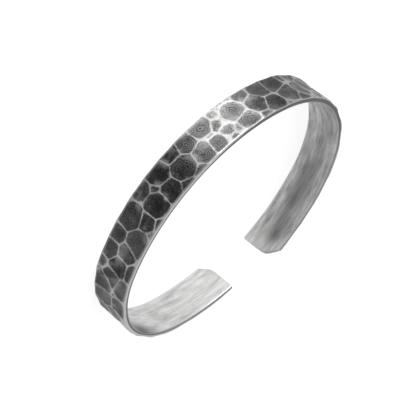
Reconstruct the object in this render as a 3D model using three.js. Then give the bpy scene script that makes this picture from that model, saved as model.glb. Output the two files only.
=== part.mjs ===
// Hammered silver cuff bracelet: one strip, bent by hand to an open oval and lying on its side.
// Millimetres. The origin is under the middle of the oval, on the plane of the rim that it lies on.
// +Z is the wrist's axis, +X the long way of the oval, and the mouth between the ends faces +Y.
import * as THREE from 'three';

// The strip as cut from sheet
const bandWidth = 9;
const stockThickness = 1.4;

// Bends of the inner line. The back is one arc, shared by both halves, and each half goes on
// through a tight side arc to a flatter end arc, which stops at the tip's distance from the middle.
// Turns are in degrees. The strip was bent by hand, so its two halves differ.
const backRadius = 36;
const leftBackTurn = 35;
const leftSideRadius = 24;
const leftSideTurn = 107;
const leftEndRadius = 38;
const leftTipReach = 3.9;
const rightBackTurn = 45;
const rightSideRadius = 20;
const rightSideTurn = 102.5;
const rightEndRadius = 41;
const rightTipReach = 7.5;

// The corner snipped off each end: the upper one on the left, the lower one on the right
const leftSnipLength = 3.2;
const leftSnipWidth = 2.5;
const rightSnipLength = 2.3;
const rightSnipWidth = 2.3;

// The hammer's face is a large ball, and a dent is where it met the strip. Past the chart below,
// dents are spread by a rule.
const hammerRadius = 12;
const dentSpacing = 1.75;
const dentReach = 2.65;
const dentReachVariation = 0.4;
const dentJitter = 1.3;

// How far the spread dents step on through the scatter from one to the next
const alongStride = 0.755;
const upStride = 0.618;
const reachStride = 0.57;

// Dents that show from the front, charted by eye: along from the middle of the back, up from the
// lower rim, and reach, how far the dent shows on each side. The strip that they were charted on
// has its own length, middle and width, and on another strip they stretch with it.
const dentChart = table(['along', 'up', 'reach'], [
  [-35.6, 5.8, 1.6], [-35.4, 2.4, 1.7], [-32.3, 4.1, 1.9], [-32.6, 7.6, 1.1], [-29.4, 5.3, 2.0],
  [-27.3, 7.7, 1.3], [-29.9, 1.1, 1.5], [-26.9, 1.4, 0.8], [-24.7, 5.7, 2.3], [-23.4, 2.3, 2.3],
  [-19.2, 6.8, 2.0], [-19.3, 2.0, 2.1], [-15.6, 8.7, 0.9], [-16.3, 4.9, 2.1], [-14.8, 1.2, 1.4],
  [-11.6, 7.2, 1.9], [-10.7, 3.5, 2.0], [-8.5, 7.3, 0.7], [-6.6, 8.8, 0.9], [-6.7, 6.1, 1.2],
  [-5.4, 7.4, 0.6], [-5.7, 3.6, 1.2], [-6.9, 1.5, 0.7], [-7.7, 4.3, 0.4], [-3.4, 1.8, 2.0],
  [-3.4, 4.5, 0.7], [-3.2, 7.0, 1.6], [0.3, 6.4, 2.1], [1.2, 2.3, 1.9], [3.1, 8.9, 1.7],
  [4.8, 5.4, 2.6], [4.5, 1.3, 1.9], [6.7, 8.7, 1.7], [9.8, 6.5, 2.2], [8.9, 2.1, 2.2],
  [11.6, 3.7, 1.2], [13.8, 6.0, 2.4], [13.5, 1.4, 1.6], [16.4, 8.8, 1.2], [17.7, 6.2, 1.8],
  [18.9, 2.5, 2.4], [19.5, 8.7, 0.9], [22.5, 6.8, 2.4], [23.6, 1.8, 1.8], [25.8, 5.6, 2.0],
  [26.9, 1.8, 1.9], [28.7, 8.6, 1.6], [29.2, 5.1, 2.0], [30.5, 0.9, 0.9], [32.7, 4.3, 1.9],
  [33.7, 7.8, 1.9], [35.5, 2.2, 2.2], [39.2, 7.5, 2.0], [39.3, 2.8, 2.3], [43.2, 5.5, 1.7],
  [44.4, 1.8, 2.0],
]);

// Neighbouring blows cut into each other, so each ball dug in further than its dent still shows
const dentOverlap = 0.85;
const chartLength = 173.9;
const chartMiddle = 90.2;
const chartWidth = 9;
const chartStart = -37.4;
const chartEnd = 46.5;

// How finely the surface is drawn: the longest step along a ridge or a rim, and where the ring
// between a dent's middle and its edge lies
const edgeStep = 1.15;
const dentRing = 0.55;
const footprintSteps = 2000;

// Places on the flat strip closer than this are one vertex
const weld = 0.005;

const leftHalf = bendHalf(-1, leftBackTurn, leftSideRadius, leftSideTurn, leftEndRadius, leftTipReach);
const rightHalf = bendHalf(1, rightBackTurn, rightSideRadius, rightSideTurn, rightEndRadius, rightTipReach);
const faceLength = leftHalf.length + rightHalf.length;

function table(columns, rows) {
  return rows.map((row) => Object.fromEntries(columns.map((name, i) => [name, row[i]])));
}

// One half of the inner line as its three arcs. Each arc starts where the last one stops, so its
// centre lies on the normal there. Distances along the arcs are measured on the outer face.
function bendHalf(side, backTurn, sideRadius, sideTurn, endRadius, tipReach) {
  const sideStart = THREE.MathUtils.degToRad(backTurn);
  const endStart = sideStart + THREE.MathUtils.degToRad(sideTurn);
  const backCentre = new THREE.Vector2(0, backRadius);
  const sideCentre = stepOut(backCentre, backRadius - sideRadius, sideStart);
  const endCentre = stepOut(sideCentre, sideRadius - endRadius, endStart);
  const tip = Math.PI - Math.asin((tipReach - endCentre.x) / endRadius);
  const arcs = [
    { centre: backCentre, radius: backRadius, from: 0, to: sideStart },
    { centre: sideCentre, radius: sideRadius, from: sideStart, to: endStart },
    { centre: endCentre, radius: endRadius, from: endStart, to: tip },
  ];
  let length = 0;
  for (const arc of arcs) {
    arc.start = length;
    length += (arc.radius + stockThickness) * (arc.to - arc.from);
    arc.stop = length;
  }
  return { side, arcs, length };
}

// A step from a centre towards the band, where the band's heading has turned so far from +X
function stepOut(centre, distance, heading) {
  return new THREE.Vector2(
    centre.x + distance * Math.sin(heading),
    centre.y - distance * Math.cos(heading),
  );
}

// A place on the flat strip, bent: along the outer face from the left tip, up from the lower rim,
// and so far out from the inner face
function bend(along, up, out) {
  const half = along < leftHalf.length ? leftHalf : rightHalf;
  const distance = Math.abs(along - leftHalf.length);
  const arc = half.arcs.find(({ stop }) => distance <= stop) ?? half.arcs.at(-1);
  const heading = arc.from + (distance - arc.start) / (arc.radius + stockThickness);
  const place = stepOut(arc.centre, arc.radius + out, heading);
  return new THREE.Vector3(half.side * place.x, place.y, up);
}

// The middle of the undented strip's footprint
function footprintMiddle() {
  const box = new THREE.Box3();
  for (let i = 0; i <= footprintSteps; i += 1) {
    box.expandByPoint(bend((i / footprintSteps) * faceLength, 0, stockThickness));
  }
  return box.getCenter(new THREE.Vector3());
}

// An even scatter of numbers from 0 to 1, the same each time
function scatter(i, stride) {
  return (0.5 + i * stride) % 1;
}

// Dents by the rule, on one stretch of the flat strip
function spreadDents(from, to) {
  const count = Math.round((to - from) / dentSpacing);
  return Array.from({ length: count }, (_, i) => ({
    along: from + ((i + 0.5) / count) * (to - from) + (scatter(i, alongStride) - 0.5) * dentJitter,
    up: scatter(i, upStride) * bandWidth,
    reach: dentReach + (scatter(i, reachStride) - 0.5) * 2 * dentReachVariation,
  }));
}

// A charted distance from the middle of the back, as a distance from this strip's left tip
function fromTip(charted) {
  return ((charted + chartMiddle) * faceLength) / chartLength;
}

// Every dent, in millimetres on the flat strip
function allDents() {
  const widening = bandWidth / chartWidth;
  const charted = dentChart.map(({ along, up, reach }) => ({
    along: fromTip(along),
    up: up * widening,
    reach: (reach + dentOverlap) * widening,
  }));
  return [
    ...spreadDents(0, fromTip(chartStart)),
    ...charted,
    ...spreadDents(fromTip(chartEnd), faceLength),
  ];
}

// How far the ball of one dent lies above the strip's own face, so less than 0 inside the dent
function ballHeight(dent, place) {
  const away = (place.x - dent.along) ** 2 + (place.y - dent.up) ** 2;
  return (away - dent.reach ** 2) / (2 * hammerRadius);
}

// The strip's flat outline, with a corner snipped off each end
function stripOutline() {
  return [
    new THREE.Vector2(0, 0),
    new THREE.Vector2(faceLength - rightSnipLength, 0),
    new THREE.Vector2(faceLength, rightSnipWidth),
    new THREE.Vector2(faceLength, bandWidth),
    new THREE.Vector2(leftSnipLength, bandWidth),
    new THREE.Vector2(0, bandWidth - leftSnipWidth),
  ];
}

// The part of a convex outline where one dent is deeper than another. Balls of one size meet in a
// straight ridge.
function clipAtRidge(outline, dent, other) {
  const excess = outline.map((place) => ballHeight(dent, place) - ballHeight(other, place));
  return outline.flatMap((place, i) => {
    const j = (i + 1) % outline.length;
    const kept = excess[i] <= 0 ? [place] : [];
    if (excess[i] * excess[j] < 0) {
      kept.push(place.clone().lerp(outline[j], excess[i] / (excess[i] - excess[j])));
    }
    return kept;
  });
}

// The points of one straight edge from its first end up to its last, without the last. They are
// worked out from the same end whichever way the edge runs, so that two patches share them.
function edgePoints(first, last) {
  const turned = first.x > last.x + weld || (Math.abs(first.x - last.x) <= weld && first.y > last.y);
  const [start, stop] = turned ? [last, first] : [first, last];
  const pieces = Math.max(1, Math.round(first.distanceTo(last) / edgeStep));
  return Array.from({ length: pieces }, (_, i) => {
    const step = turned ? pieces - i : i;
    return start.clone().lerp(stop, step / pieces);
  });
}

// Each dent's own patch of the outer face, bounded by the ridges to its neighbours
function dentPatches() {
  const dents = allDents();
  return dents.flatMap((dent) => {
    const others = dents.filter((other) => other !== dent);
    const outline = others.reduce((left, other) => clipAtRidge(left, dent, other), stripOutline());
    if (outline.length < 3) return [];
    const edge = outline.flatMap((place, i) => edgePoints(place, outline[(i + 1) % outline.length]));
    return [{ dent, outline: edge }];
  });
}

// Vertices and triangles of the band. A vertex is known by its face and its place on the strip.
class Shell {
  constructor() {
    this.faces = [];
    this.places = [];
    this.positions = [];
    this.triangles = [];
  }

  vertex(face, place, out) {
    const known = this.places.findIndex(
      (other, i) => this.faces[i] === face && other.distanceTo(place) < weld,
    );
    if (known >= 0) return known;
    this.faces.push(face);
    this.places.push(place);
    this.positions.push(...bend(place.x, place.y, out));
    return this.places.length - 1;
  }

  triangle(a, b, c) {
    if (a !== b && b !== c && c !== a) this.triangles.push(a, b, c);
  }

  geometry() {
    const geometry = new THREE.BufferGeometry();
    geometry.setAttribute('position', new THREE.Float32BufferAttribute(this.positions, 3));
    geometry.setIndex(this.triangles);
    geometry.computeVertexNormals();
    return geometry;
  }
}

// The outer face, patch by patch. Returns its rim, the vertices around the strip in order.
function addOuterFace(shell) {
  const edges = new Map();
  for (const { dent, outline } of dentPatches()) {
    const surface = (place) =>
      shell.vertex('outer', place, stockThickness + Math.min(0, ballHeight(dent, place)));
    const middle = outline.reduce((sum, place) => sum.add(place), new THREE.Vector2());
    middle.divideScalar(outline.length);
    const centre = surface(middle);
    const edge = outline.map(surface);
    const ring = outline.map((place) => surface(middle.clone().lerp(place, dentRing)));
    edge.forEach((vertex, i) => {
      const j = (i + 1) % edge.length;
      shell.triangle(centre, ring[i], ring[j]);
      shell.triangle(ring[i], vertex, edge[j]);
      shell.triangle(ring[i], edge[j], ring[j]);
      if (vertex !== edge[j]) edges.set([vertex, edge[j]].join(), [vertex, edge[j]]);
    });
  }
  const outermost = [...edges.values()].filter(([from, to]) => !edges.has([to, from].join()));
  const next = new Map(outermost);
  const rim = [shell.vertex('outer', new THREE.Vector2(0, 0))];
  while (rim.length < next.size) rim.push(next.get(rim.at(-1)));
  return rim;
}

// The walls around the strip, from the outer face's rim to the inner face's
function addWalls(shell, outerRim) {
  const innerRim = outerRim.map((vertex) => shell.vertex('inner', shell.places[vertex], 0));
  innerRim.forEach((vertex, i) => {
    const j = (i + 1) % innerRim.length;
    shell.triangle(outerRim[j], outerRim[i], vertex);
    shell.triangle(outerRim[j], vertex, innerRim[j]);
  });
  return innerRim;
}

// The inner face, smooth, in strips between the lower and the upper chain of its rim. Both chains
// run from the lower left corner to the upper right one.
function addInnerFace(shell, rim) {
  const far = shell.vertex('inner', new THREE.Vector2(faceLength, bandWidth), 0);
  const corner = rim.indexOf(far);
  const lower = rim.slice(0, corner + 1);
  const upper = [...rim.slice(corner), rim[0]].reverse();
  const along = (vertex) => shell.places[vertex].x;
  let i = 1;
  let j = 1;
  shell.triangle(lower[1], lower[0], upper[1]);
  while (i < lower.length - 2 || j < upper.length - 2) {
    const upperDone = j === upper.length - 2;
    const lowerDone = i === lower.length - 2;
    if (lowerDone || (!upperDone && along(upper[j + 1]) < along(lower[i + 1]))) {
      shell.triangle(upper[j + 1], lower[i], upper[j]);
      j += 1;
    } else {
      shell.triangle(lower[i + 1], lower[i], upper[j]);
      i += 1;
    }
  }
  shell.triangle(far, lower[i], upper[j]);
}

function cuffBand() {
  const shell = new Shell();
  const outerRim = addOuterFace(shell);
  const innerRim = addWalls(shell, outerRim);
  addInnerFace(shell, innerRim);
  const silver = new THREE.MeshStandardMaterial({ color: 0x8f8d89, roughness: 0.35, metalness: 1 });
  const band = new THREE.Mesh(shell.geometry(), silver);
  band.name = 'cuff_band';
  const middle = footprintMiddle();
  band.position.set(-middle.x, -middle.y, 0);
  return band;
}

const cuff = new THREE.Group();
cuff.add(cuffBand());

export default cuff;
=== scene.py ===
# A hammered silver cuff bracelet, lying on its lower rim in a pale studio
import math

import bmesh
import bpy
import numpy as np
from mathutils import Matrix, Vector


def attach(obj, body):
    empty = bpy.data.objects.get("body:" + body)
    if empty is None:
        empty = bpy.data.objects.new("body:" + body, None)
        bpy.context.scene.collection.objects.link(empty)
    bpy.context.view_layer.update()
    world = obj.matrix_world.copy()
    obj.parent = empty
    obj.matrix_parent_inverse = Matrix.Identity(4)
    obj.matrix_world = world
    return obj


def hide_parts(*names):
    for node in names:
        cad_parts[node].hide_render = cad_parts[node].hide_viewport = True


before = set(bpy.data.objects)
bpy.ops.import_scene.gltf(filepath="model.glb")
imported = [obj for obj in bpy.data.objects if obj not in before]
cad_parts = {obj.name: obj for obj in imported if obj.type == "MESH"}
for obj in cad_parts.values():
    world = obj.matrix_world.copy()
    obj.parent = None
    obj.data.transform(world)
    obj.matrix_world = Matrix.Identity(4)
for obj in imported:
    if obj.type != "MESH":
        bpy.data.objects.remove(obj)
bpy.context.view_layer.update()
bpy.ops.object.select_all(action="DESELECT")
scene = bpy.context.scene

# The camera. It looks down on the cuff from the front, a little to the right of the middle, and is
# rolled so far that the axis of the wrist points to the lower right of the picture.
MM = 0.001
CAMERA_AZIMUTH = math.radians(12.6)
CAMERA_ELEVATION = math.radians(26.4)
CAMERA_ROLL = math.radians(129.23)
CAMERA_DISTANCE = 269.74 * MM
CAMERA_AIM = Vector((2.98, -5.96, 4.5)) * MM
CAMERA_LENS = 112.15
CAMERA_SENSOR = 36
CAMERA_NEAREST = 10 * MM

toward_camera = Vector((
    math.sin(CAMERA_AZIMUTH) * math.cos(CAMERA_ELEVATION),
    -math.cos(CAMERA_AZIMUTH) * math.cos(CAMERA_ELEVATION),
    math.sin(CAMERA_ELEVATION),
))
bpy.ops.object.camera_add(location=CAMERA_AIM + CAMERA_DISTANCE * toward_camera)
camera = bpy.context.object
level = toward_camera.to_track_quat("Z", "Y").to_matrix().to_4x4()
camera.rotation_euler = (level @ Matrix.Rotation(CAMERA_ROLL, 4, "Z")).to_euler()
camera.data.lens = CAMERA_LENS
camera.data.sensor_width = CAMERA_SENSOR
camera.data.clip_start = CAMERA_NEAREST
scene.camera = camera

# The strip. The real one is sawn from silver sheet and its long edges are filed a little round.
# It is modelled standing on its left end: its width lies along X, its thickness along Y, from the
# inner face to the outer, and its length goes up along Z.
BAND_WIDTH = 9 * MM
STOCK_THICKNESS = 1.4 * MM
RIM_ROUND = 0.28 * MM
RIM_SEGMENTS = 4
END_ROUND = 0.16 * MM
END_SEGMENTS = 2
SURFACE_STEP = 0.17 * MM
WALL_STEP = 0.25 * MM
INNER_STEP = 0.75 * MM

# How the strip will be bent, as arcs of its inner line, one after the other from the middle of the
# back. The back and the side turn so many degrees, and the end stops so far from the middle plane.
BACK_RADIUS = 36 * MM
LEFT_HALF = {"back": 35, "side_radius": 24 * MM, "side": 107, "end_radius": 38 * MM, "tip": 3.9 * MM}
RIGHT_HALF = {"back": 45, "side_radius": 20 * MM, "side": 102.5, "end_radius": 41 * MM, "tip": 7.5 * MM}


def step_out(centre, distance, heading):
    """A step from a centre towards the band, where the band's heading has turned so far"""
    return centre[0] + distance * np.sin(heading), centre[1] - distance * np.cos(heading)


def half_arcs(half):
    """One half's arcs, each with its centre, radius, first heading and start along the outer face"""
    side_start = math.radians(half["back"])
    end_start = side_start + math.radians(half["side"])
    back = (0, BACK_RADIUS)
    side = step_out(back, BACK_RADIUS - half["side_radius"], side_start)
    end = step_out(side, half["side_radius"] - half["end_radius"], end_start)
    tip = math.pi - math.asin((half["tip"] - end[0]) / half["end_radius"])
    arcs = []
    along = 0
    for centre, radius, start, stop in (
        (back, BACK_RADIUS, 0, side_start),
        (side, half["side_radius"], side_start, end_start),
        (end, half["end_radius"], end_start, tip),
    ):
        arcs.append((centre, radius, start, along))
        along += (radius + STOCK_THICKNESS) * (stop - start)
    return arcs, along


left_arcs, left_length = half_arcs(LEFT_HALF)
right_arcs, right_length = half_arcs(RIGHT_HALF)
face_length = left_length + right_length


def select_edges(obj, chosen):
    """Selects only the chosen edges, and returns the first one's length"""
    bpy.ops.mesh.select_mode(type="EDGE")
    bpy.ops.mesh.select_all(action="DESELECT")
    picked = [edge for edge in bmesh.from_edit_mesh(obj.data).edges if chosen(edge)]
    for edge in picked:
        edge.select = True
    return picked[0].calc_length()


def lies_at(edge, axis, place):
    """Whether both ends of an edge have that place on the axis"""
    return all(abs(vert.co[axis] - place) < 0.01 * RIM_ROUND for vert in edge.verts)


bpy.ops.mesh.primitive_plane_add(size=1)
cuff = bpy.context.object
cuff.name = "hammered_band"
bpy.ops.object.mode_set(mode="EDIT")
bpy.ops.transform.resize(value=(BAND_WIDTH, STOCK_THICKNESS, 1))
bpy.ops.transform.translate(value=(BAND_WIDTH / 2, STOCK_THICKNESS / 2, 0))
bpy.ops.mesh.bevel(offset=RIM_ROUND, segments=RIM_SEGMENTS, affect="VERTICES")
bpy.ops.mesh.delete(type="ONLY_FACE")
for chosen, step in (
    (lambda edge: lies_at(edge, 1, STOCK_THICKNESS), SURFACE_STEP),
    (lambda edge: lies_at(edge, 1, 0), INNER_STEP),
    (lambda edge: lies_at(edge, 0, 0) or lies_at(edge, 0, BAND_WIDTH), WALL_STEP),
):
    length = select_edges(cuff, chosen)
    bpy.ops.mesh.subdivide(number_cuts=round(length / step) - 1)
bpy.ops.object.mode_set(mode="OBJECT")

drawn = cuff.modifiers.new("length", "SCREW")
drawn.axis = "Z"
drawn.angle = 0
drawn.screw_offset = face_length
drawn.steps = drawn.render_steps = round(face_length / SURFACE_STEP)
bpy.ops.object.modifier_apply(modifier=drawn.name)
bpy.ops.object.mode_set(mode="EDIT")
bpy.ops.mesh.select_all(action="SELECT")
bpy.ops.mesh.fill_holes(sides=0)
select_edges(cuff, lambda edge: any(len(face.verts) > 4 for face in edge.link_faces))
bpy.ops.mesh.bevel(offset=END_ROUND, segments=END_SEGMENTS, affect="EDGES")
bpy.ops.mesh.select_all(action="SELECT")
bpy.ops.mesh.normals_make_consistent(inside=False)
bpy.ops.object.mode_set(mode="OBJECT")

places = np.empty(3 * len(cuff.data.vertices))
cuff.data.vertices.foreach_get("co", places)
up, out, along = places.reshape(-1, 3).T

# The snipped corners. One corner of each end is cut off and filed smooth, the upper one on the
# left and the lower one on the right, so the strip's last rows are drawn back to the new outline.
LEFT_SNIP_LENGTH = 3.2 * MM
LEFT_SNIP_WIDTH = 2.5 * MM
RIGHT_SNIP_LENGTH = 2.3 * MM
RIGHT_SNIP_WIDTH = 2.3 * MM
SNIP_ROUND = 0.3
SNIP_ZONE = 10 * MM


def draw_back(distance, inset, length, width):
    """The new distance from an end, where a point lies so far inside the snipped corner's edge"""
    depth = 1 - inset / width
    cut = length * (depth + np.sqrt(depth**2 + SNIP_ROUND**2)) / 2
    return np.where(distance < SNIP_ZONE, cut + distance * (1 - cut / SNIP_ZONE), distance)


from_left = draw_back(along, BAND_WIDTH - up, LEFT_SNIP_LENGTH, LEFT_SNIP_WIDTH)
from_right = draw_back(face_length - along, up, RIGHT_SNIP_LENGTH, RIGHT_SNIP_WIDTH)
along = np.where(along < face_length / 2, from_left, face_length - from_right)

# The hammering. The outer face was struck all over with a ball-faced hammer while the strip was
# flat. Each blow left part of a ball, and between the dents stand worn ridges and a few flats.
HAMMER_RADIUS = 12 * MM
RIDGE_WEAR = 0.02 * MM
DENT_SPACING = 1.75 * MM
DENT_REACH = 2.65 * MM
DENT_REACH_VARIATION = 0.4 * MM
DENT_JITTER = 1.3 * MM
ALONG_STRIDE = 0.755
UP_STRIDE = 0.618
REACH_STRIDE = 0.57

# The dents that show from the front, charted in millimetres: along from the middle of the back, up
# from the lower rim, and how far the dent shows on each side
DENT_CHART = MM * np.array((
    (-35.6, 5.8, 1.6), (-35.4, 2.4, 1.7), (-32.3, 4.1, 1.9), (-32.6, 7.6, 1.1), (-29.4, 5.3, 2.0),
    (-27.3, 7.7, 1.3), (-29.9, 1.1, 1.5), (-26.9, 1.4, 0.8), (-24.7, 5.7, 2.3), (-23.4, 2.3, 2.3),
    (-19.2, 6.8, 2.0), (-19.3, 2.0, 2.1), (-15.6, 8.7, 0.9), (-16.3, 4.9, 2.1), (-14.8, 1.2, 1.4),
    (-11.6, 7.2, 1.9), (-10.7, 3.5, 2.0), (-8.5, 7.3, 0.7), (-6.6, 8.8, 0.9), (-6.7, 6.1, 1.2),
    (-5.4, 7.4, 0.6), (-5.7, 3.6, 1.2), (-6.9, 1.5, 0.7), (-7.7, 4.3, 0.4), (-3.4, 1.8, 2.0),
    (-3.4, 4.5, 0.7), (-3.2, 7.0, 1.6), (0.3, 6.4, 2.1), (1.2, 2.3, 1.9), (3.1, 8.9, 1.7),
    (4.8, 5.4, 2.6), (4.5, 1.3, 1.9), (6.7, 8.7, 1.7), (9.8, 6.5, 2.2), (8.9, 2.1, 2.2),
    (11.6, 3.7, 1.2), (13.8, 6.0, 2.4), (13.5, 1.4, 1.6), (16.4, 8.8, 1.2), (17.7, 6.2, 1.8),
    (18.9, 2.5, 2.4), (19.5, 8.7, 0.9), (22.5, 6.8, 2.4), (23.6, 1.8, 1.8), (25.8, 5.6, 2.0),
    (26.9, 1.8, 1.9), (28.7, 8.6, 1.6), (29.2, 5.1, 2.0), (30.5, 0.9, 0.9), (32.7, 4.3, 1.9),
    (33.7, 7.8, 1.9), (35.5, 2.2, 2.2), (39.2, 7.5, 2.0), (39.3, 2.8, 2.3), (43.2, 5.5, 1.7),
    (44.4, 1.8, 2.0),
))

# Neighbouring blows cut into each other, so each ball dug in further than its dent still shows
DENT_OVERLAP = 0.85 * MM

# The strip that was charted: its length, its middle from the left tip, and where the chart starts
# and ends, from the middle
CHART_LENGTH = 173.9 * MM
CHART_MIDDLE = 90.2 * MM
CHART_START = -37.4 * MM
CHART_END = 46.5 * MM


def scatter(count, stride):
    """An even scatter of numbers from 0 to 1"""
    return (0.5 + np.arange(count) * stride) % 1


def spread_dents(start, stop):
    """Rows of dents on a stretch that the chart leaves out"""
    count = round((stop - start) / DENT_SPACING)
    evenly = start + (np.arange(count) + 0.5) / count * (stop - start)
    return np.column_stack((
        evenly + (scatter(count, ALONG_STRIDE) - 0.5) * DENT_JITTER,
        scatter(count, UP_STRIDE) * BAND_WIDTH,
        DENT_REACH + (scatter(count, REACH_STRIDE) - 0.5) * 2 * DENT_REACH_VARIATION,
    ))


def from_tip(charted):
    """A charted distance from the middle of the back, as a distance from the left tip"""
    return (charted + CHART_MIDDLE) * face_length / CHART_LENGTH


charted_along, charted_up, charted_reach = DENT_CHART.T
dents = np.vstack((
    spread_dents(0, from_tip(CHART_START)),
    np.column_stack((from_tip(charted_along), charted_up, charted_reach + DENT_OVERLAP)),
    spread_dents(from_tip(CHART_END), face_length),
))
away = np.hypot(along[:, None] - dents[:, 0], up[:, None] - dents[:, 1])
balls = (away**2 - dents[:, 2] ** 2) / (2 * HAMMER_RADIUS)
surfaces = np.column_stack((balls, np.zeros(len(balls))))


def shares(softness):
    """How much each dent, and last the undented face, makes up the surface at each point"""
    weights = np.exp(-(surfaces - surfaces.min(axis=1, keepdims=True)) / softness)
    return weights / weights.sum(axis=1, keepdims=True), weights.sum(axis=1)


_, crowding = shares(RIDGE_WEAR)
depth = surfaces.min(axis=1) - RIDGE_WEAR * np.log(crowding)

# The dents fade out through the thickness, so the inner face stays smooth
hold = np.clip(out / STOCK_THICKNESS, 0, 1) ** 2
dented_out = out + depth * hold

# Bending. The strip was pushed round a mandrel by hand: a flatter back, tight sides and slack
# ends. Here each point is carried along the arcs of its half, and the whole is centred.
OUTLINE_STATIONS = 2001


def bend(along, up, out):
    """Places on the flat strip, carried round the arcs of the bent one"""
    result = np.empty((len(along), 3))
    for arcs, distance, side in (
        (left_arcs, left_length - along, -1),
        (right_arcs, along - left_length, 1),
    ):
        for centre, radius, start, begin in arcs:
            here = (distance >= 0) & (distance >= begin)
            heading = start + (distance[here] - begin) / (radius + STOCK_THICKNESS)
            x, y = step_out(centre, radius + out[here], heading)
            result[here] = np.column_stack((side * x, y, up[here]))
    return result


stations = np.linspace(0, face_length, OUTLINE_STATIONS)
outline = bend(stations, np.zeros_like(stations), np.full_like(stations, STOCK_THICKNESS))
middle = (outline.min(axis=0) + outline.max(axis=0)) / 2
bent = bend(along, up, dented_out) - middle * (1, 1, 0)
cuff.data.vertices.foreach_set("co", bent.ravel())
cuff.data.update()
bpy.ops.object.shade_smooth()

# The polish. Rubbing reached the ridges and flats first and the bottoms of the dents last. So each
# point keeps its place on the flat strip, in millimetres and as a share of the thickness, and how
# near it lies to a ridge, a flat and the middle of its dent, for the silver to read.
RIDGE_SOFTNESS = 0.035 * MM
GLOW_SOFTNESS = 0.16 * MM


def ridges(softness):
    """1 on the ridges and flats between the dents, falling away to 0 inside the dents"""
    share, _ = shares(softness)
    return np.clip(2 * (1 - share.max(axis=1)) + share[:, -1], 0, 1)


flats = shares(RIDGE_SOFTNESS)[0][:, -1]
nearest = balls.argmin(axis=1)
for name, values in (
    ("along", along / MM),
    ("up", up / MM),
    ("out", out / STOCK_THICKNESS),
    ("ridge", ridges(RIDGE_SOFTNESS)),
    ("glow", ridges(GLOW_SOFTNESS)),
    ("flat", flats),
    ("centre", away[np.arange(len(nearest)), nearest] / MM),
    ("blow", scatter(len(dents), UP_STRIDE)[nearest]),
):
    layer = cuff.data.attributes.new(name, "FLOAT", "POINT")
    layer.data.foreach_set("value", values.astype(np.float32))

# The silver. Liver of sulphur turned the whole outer face dark, and polishing brought the ridges,
# flats and rims back to metal. The inner face was never darkened and is brushed lengthwise.

# The Mix node's sockets for colours, by number because three sets of them share their names
MIX_FACTOR = 0
MIX_FIRST = 6
MIX_SECOND = 7
MIX_RESULT = 2


class Value:
    """A number on a node's output, so that shader maths reads as plain sums"""

    def __init__(self, nodes, socket):
        self.nodes = nodes
        self.socket = socket

    def maths(self, operation, *others, clamp=False):
        settings = {"operation": operation, "use_clamp": clamp}
        return self.nodes.add("ShaderNodeMath", settings, [self, *others])

    def __add__(self, other):
        return self.maths("ADD", other)

    def __sub__(self, other):
        return self.maths("SUBTRACT", other)

    def __mul__(self, other):
        return self.maths("MULTIPLY", other)

    def __truediv__(self, other):
        return self.maths("DIVIDE", other)

    def __rsub__(self, other):
        return self.nodes.add("ShaderNodeMath", {"operation": "SUBTRACT"}, [other, self])

    __radd__ = __add__
    __rmul__ = __mul__

    def clamp(self):
        return self.maths("ADD", 0, clamp=True)

    def sine(self):
        return self.maths("SINE")

    def ramp(self, low, high):
        """0 below low and 1 above high, straight between"""
        return ((self - low) / (high - low)).clamp()

    def stretch(self, start, full, fading, stop):
        """0 before start, 1 from full to fading, and 0 again from stop"""
        return self.ramp(start, full) * (1 - self.ramp(fading, stop))

    def swing(self, amount):
        """How far a number from 0 to 1 is from its middle, times an amount"""
        return (self - 0.5) * amount


class Nodes:
    """A material's node tree, filled by one method"""

    def __init__(self, name):
        self.material = bpy.data.materials.new(name)
        self.material.use_nodes = True
        self.tree = self.material.node_tree
        self.tree.nodes.clear()

    def add(self, kind, settings=None, values=(), output=0):
        node = self.tree.nodes.new(kind)
        for name, setting in (settings or {}).items():
            setattr(node, name, setting)
        sockets = values.items() if isinstance(values, dict) else enumerate(values)
        for key, value in sockets:
            if isinstance(value, Value):
                self.tree.links.new(value.socket, node.inputs[key])
            else:
                node.inputs[key].default_value = value
        return Value(self, node.outputs[output]) if node.outputs else None

    def attribute(self, name):
        return self.add("ShaderNodeAttribute", {"attribute_name": name}, output="Fac")

    def mix(self, factor, first, second):
        sockets = {MIX_FACTOR: factor, MIX_FIRST: first, MIX_SECOND: second}
        return self.add("ShaderNodeMix", {"data_type": "RGBA"}, sockets, output=MIX_RESULT)

    def point(self, x, y, z=0):
        return self.add("ShaderNodeCombineXYZ", values=[x, y, z])

    def noise(self, place, scale, detail=4, roughness=0.5):
        values = {"Vector": place, "Scale": scale, "Detail": detail, "Roughness": roughness}
        return self.add("ShaderNodeTexNoise", values=values)


OXIDE = (0.009, 0.009, 0.010, 1)
OXIDE_WORN = (0.064, 0.064, 0.064, 1)
# The dents' colours in the stretch of painted highlight
DENT_HIGHLIGHT_DARK = (0.026, 0.026, 0.026, 1)
DENT_HIGHLIGHT = (0.21, 0.21, 0.209, 1)
RIDGE_GRAY = (0.33, 0.33, 0.328, 1)
# The ridges' colour in the stretch of painted highlight
HIGHLIGHT_SILVER = (0.68, 0.678, 0.673, 1)
RIM_GRAY = (0.15, 0.15, 0.149, 1)
# The painted highlight along the rims' edges
RIM_EDGE_HIGHLIGHT = (0.66, 0.658, 0.654, 1)
INNER_SILVER = (0.66, 0.658, 0.654, 1)
INNER_DULL = (0.20, 0.20, 0.199, 1)
# Painted shade on the inner face
INNER_PAINTED_SHADE = (0.07, 0.07, 0.069, 1)

# Stretches of the strip that carry a painted highlight, painted shade and a duller rim, in millimetres
# from the left tip or from the lower rim: each sets in between its first two places and fades out
# between its last two
PAINTED_HIGHLIGHT_STRETCH = (70, 77, 88, 95)
PAINTED_SHADE_STRETCH = (88, 98, 104, 114)
DULL_RIM_STRETCH = (30, 45, 78, 92)
STREAK_ALONG = (3, 15, 22, 42)
STREAK_UP = (1.5, 4.5, 5.5, 8.5)
TIP_SHADE_ALONG = (2, 5, 6, 12)
TIP_SHADE_UP = (3.5, 5.5, 6.5, 8.5)
TURN_SHADE_ALONG = (138, 142, 145, 151)

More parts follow.
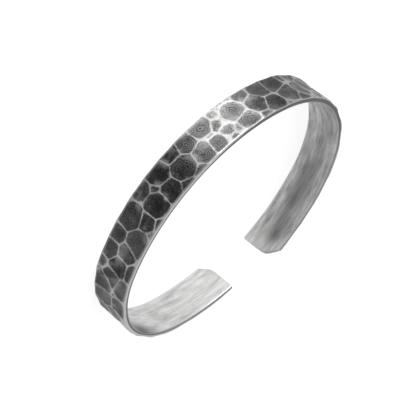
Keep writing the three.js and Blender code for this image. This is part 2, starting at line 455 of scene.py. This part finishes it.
# How fine the mottling is, in spots to the millimetre
PATCH_SCALE = 0.5
SPECKLE_SCALE = 3.0
RING_WARP_SCALE = 0.7
FLAT_MOTTLE_SCALE = 1.8
FADE_SCALE = 0.33
HAZE_SCALE = 0.38

silver = Nodes("oxidised_silver")
along_mm = silver.attribute("along")
up_mm = silver.attribute("up")
out_share = silver.attribute("out")
strip_place = silver.point(along_mm, up_mm, out_share)
patches = silver.noise(strip_place, PATCH_SCALE)
speckle = silver.noise(strip_place, SPECKLE_SCALE)
# The stretch of the back that is painted with a highlight, lighter than the rest
painted_highlight = along_mm.stretch(*PAINTED_HIGHLIGHT_STRETCH)

# The dents: dark oxide, uneven from blow to blow, speckled, and in some dents marked with wavy rings.
# They are lighter, with stronger rings, in the stretch of painted highlight, and darker in a stretch
# of painted shade
RING_PITCH = 0.42
RING_WARP = 1.6
RING_STRENGTH = 0.35
HIGHLIGHT_RING_STRENGTH = 1.5
STAIN = 0.55
DARKEST_PAINTED_SHADE = 0.4
blow = silver.attribute("blow")
ring_place = silver.attribute("centre") + silver.noise(strip_place, RING_WARP_SCALE) * RING_WARP
rings = (ring_place * (2 * math.pi / RING_PITCH)).sine()
ringed_dents = (blow.ramp(0.25, 0.5) + painted_highlight * 0.5) * patches.ramp(0.35, 0.6)
ring_marks = rings * (ringed_dents * (RING_STRENGTH + painted_highlight * HIGHLIGHT_RING_STRENGTH))
tone = patches.swing(1.5) + blow.swing(0.5) + speckle.swing(1.8)
# A stretch of painted shade darkens the dents
stain_and_painted_shade = STAIN + tone + ring_marks - along_mm.stretch(*PAINTED_SHADE_STRETCH) * DARKEST_PAINTED_SHADE
shade = stain_and_painted_shade.ramp(0.05, 0.95)
oxidised = silver.mix(shade, OXIDE, OXIDE_WORN)
highlit_dents = silver.mix(shade, DENT_HIGHLIGHT_DARK, DENT_HIGHLIGHT)
dent_colour = silver.mix(painted_highlight, oxidised, highlit_dents)

# The ridges and flats: polished raggedly and more in some places than in others, with a haze of
# polish that runs a little way down into the dents. They are gray, and silver in the stretch of
# painted highlight, where the haze is painted stronger too
LEAST_POLISH = 0.55
FLAT_MOTTLE = 0.9
PATCHY_HAZE = 0.34
HIGHLIGHT_HAZE = 0.1
HAZE = 0.05
ragged = silver.attribute("ridge") + speckle.swing(0.9) + patches.swing(0.8)
faded = LEAST_POLISH + silver.noise(strip_place, FADE_SCALE).ramp(0.35, 0.6) * 0.6
mottle = silver.noise(strip_place, FLAT_MOTTLE_SCALE).ramp(0.42, 0.58)
crest = ragged.ramp(0.2, 1.0) * faded * (1 - silver.attribute("flat") * mottle * FLAT_MOTTLE)
hazy_patches = silver.noise(strip_place, HAZE_SCALE).ramp(0.52, 0.66)
haze_and_painted_highlight = hazy_patches * PATCHY_HAZE + painted_highlight * HIGHLIGHT_HAZE + HAZE
ridge_haze_and_highlight = silver.attribute("glow") * haze_and_painted_highlight * (0.6 + speckle * 0.8)
ridge_colour = silver.mix(painted_highlight, RIDGE_GRAY, HIGHLIGHT_SILVER)

# The outer face's long edges: rubbed bright and given a painted highlight, both less on the dull
# stretch of the left half
RUB_START = 0.15
RUB_END = 0.6
RIM_RUB_AND_HIGHLIGHT = 0.6
DULL_RIM = 0.4
inside_rims = up_mm.ramp(RUB_START, RUB_END) * (BAND_WIDTH / MM - up_mm).ramp(RUB_START, RUB_END)
dull_rim = along_mm.stretch(*DULL_RIM_STRETCH)
# Real rubbing and a painted highlight along the outer face's long edges
rim_rub_and_highlight = (1 - inside_rims) * (RIM_RUB_AND_HIGHLIGHT - dull_rim * DULL_RIM)
wear_and_painted_highlight = (crest + ridge_haze_and_highlight + rim_rub_and_highlight).clamp()
outer_colour = silver.mix(wear_and_painted_highlight, dent_colour, ridge_colour)


def lengthwise(along_scale, up_scale):
    """A place on the strip for a noise that is drawn out along it"""
    return silver.point(along_mm * along_scale, up_mm * up_scale)


# The inner face: brushed lengthwise, with painted light that makes it lightest to the right, at the
# left tip and along its edges, and painted shade in clouds and a streak on the left and in a patch
# on each side
INNER_LIGHT = 0.2
# Painted light on the inner face: lighter to the right, at the left tip and along its edges
RIGHT_PAINTED_LIGHT = 0.42
TIP_PAINTED_LIGHT = 0.25
BRUSHED_LIGHT = 0.17
INNER_EDGE_PAINTED_LIGHT = 0.35
CLOUD_PAINTED_SHADE = 0.5
STREAK_PAINTED_SHADE = 0.75
TIP_PAINTED_SHADE = 0.6
streaks = silver.noise(lengthwise(0.1, 1.7), 2.0, detail=6, roughness=0.75)
smears = silver.noise(lengthwise(0.17, 0.8), 1.0)
brushing = streaks.swing(1.5) + BRUSHED_LIGHT + smears.swing(1.5) + speckle.swing(0.5)
right_painted_light = along_mm.ramp(40, 160) * RIGHT_PAINTED_LIGHT
tip_painted_light = (1 - along_mm.ramp(0, 9)) * TIP_PAINTED_LIGHT
inner_edge_painted_light = (1 - inside_rims) * INNER_EDGE_PAINTED_LIGHT
inner_tone_and_painted_light = INNER_LIGHT + right_painted_light + tip_painted_light + brushing + inner_edge_painted_light
brushed_with_painted_light = silver.mix(inner_tone_and_painted_light.clamp(), INNER_DULL, INNER_SILVER)
clouds = silver.noise(lengthwise(0.05, 0.25), 1.0).ramp(0.45, 0.75) * (1 - along_mm.ramp(60, 140))
streak = along_mm.stretch(*STREAK_ALONG) * up_mm.stretch(*STREAK_UP)
tip_painted_shade = along_mm.stretch(*TIP_SHADE_ALONG) * up_mm.stretch(*TIP_SHADE_UP)
turn_painted_shade = along_mm.stretch(*TURN_SHADE_ALONG) * up_mm.ramp(5, 7.5)
# Painted shade on the inner face: clouds and a streak on the left, and a patch on each side
inner_painted_shade = clouds * CLOUD_PAINTED_SHADE + streak * STREAK_PAINTED_SHADE + tip_painted_shade * TIP_PAINTED_SHADE + turn_painted_shade
inner_colour = silver.mix((inner_painted_shade * (0.5 + smears * 0.7)).clamp(), brushed_with_painted_light, INNER_PAINTED_SHADE)

# The rims: gray across the strip's thickness, with a painted highlight at the outer edge, narrower on
# the dull stretch, and a weaker painted highlight at the inner edge
INNER_EDGE_HIGHLIGHT = 0.6
DULL_RIM_NARROWING = 0.35
outer_edge_highlight = (out_share - dull_rim * DULL_RIM_NARROWING).ramp(0.38, 0.55)
inner_edge_highlight = (1 - out_share.ramp(0.08, 0.3)) * INNER_EDGE_HIGHLIGHT
rim_colour = silver.mix(outer_edge_highlight + inner_edge_highlight, RIM_GRAY, RIM_EDGE_HIGHLIGHT)
inner_or_rim = silver.mix(out_share.ramp(0.02, 0.12), inner_colour, rim_colour)
colour = silver.mix(out_share.ramp(0.9, 0.98), inner_or_rim, outer_colour)

ROUGHNESS = 0.42
POLISH = 0.12
BUMP_STRENGTH = 0.25
BUMP_HEIGHT = 0.05 * MM
bump = silver.add("ShaderNodeBump", {}, {
    "Strength": BUMP_STRENGTH,
    "Distance": BUMP_HEIGHT,
    "Height": streaks * 0.3 + speckle * 0.2 + ring_marks * 0.3,
})
surface = silver.add("ShaderNodeBsdfPrincipled", {}, {
    "Base Color": colour,
    "Metallic": 1.0,
    "Roughness": ROUGHNESS - wear_and_painted_highlight * POLISH,
    "Normal": bump,
})
silver.add("ShaderNodeOutputMaterial", {}, {"Surface": surface})
cuff.data.materials.append(silver.material)
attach(cuff, "root")
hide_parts("cuff_band")

# The studio. A white floor is lit from below, as a light table is, under even white light from all
# round, and a wide lamp stands low in front of the cuff, to the left.
WHITE = (1, 1, 1, 1)
FLOOR_SIZE = 4
FLOOR_DROP = 0.02 * MM
FLOOR_PAINT = (0.5, 0.5, 0.5, 1)
FLOOR_ROUGHNESS = 0.5
FLOOR_GLOW = 0.72
ROOM_GLOW = 0.7
LAMP_PLACE = Vector((-0.32, -0.5, 0.14))
LAMP_SIZE = 0.3
LAMP_POWER = 2

bpy.ops.mesh.primitive_plane_add(size=FLOOR_SIZE, location=(0, 0, -FLOOR_DROP))
floor = bpy.context.object
floor.name = "floor"
floor_paint = Nodes("white_floor")
floor_surface = floor_paint.add("ShaderNodeBsdfPrincipled", {}, {
    "Base Color": FLOOR_PAINT,
    "Roughness": FLOOR_ROUGHNESS,
    "Emission Color": WHITE,
    "Emission Strength": FLOOR_GLOW,
})
floor_paint.add("ShaderNodeOutputMaterial", {}, {"Surface": floor_surface})
floor.data.materials.append(floor_paint.material)

world = bpy.data.worlds.new("studio")
world.use_nodes = True
background = world.node_tree.nodes["Background"]
background.inputs["Color"].default_value = WHITE
background.inputs["Strength"].default_value = ROOM_GLOW
scene.world = world

bpy.ops.object.light_add(type="AREA", location=LAMP_PLACE)
lamp = bpy.context.object
lamp.rotation_euler = (LAMP_PLACE - CAMERA_AIM).to_track_quat("Z", "Y").to_euler()
lamp.data.size = LAMP_SIZE
lamp.data.energy = LAMP_POWER
scene.view_settings.view_transform = "Standard"
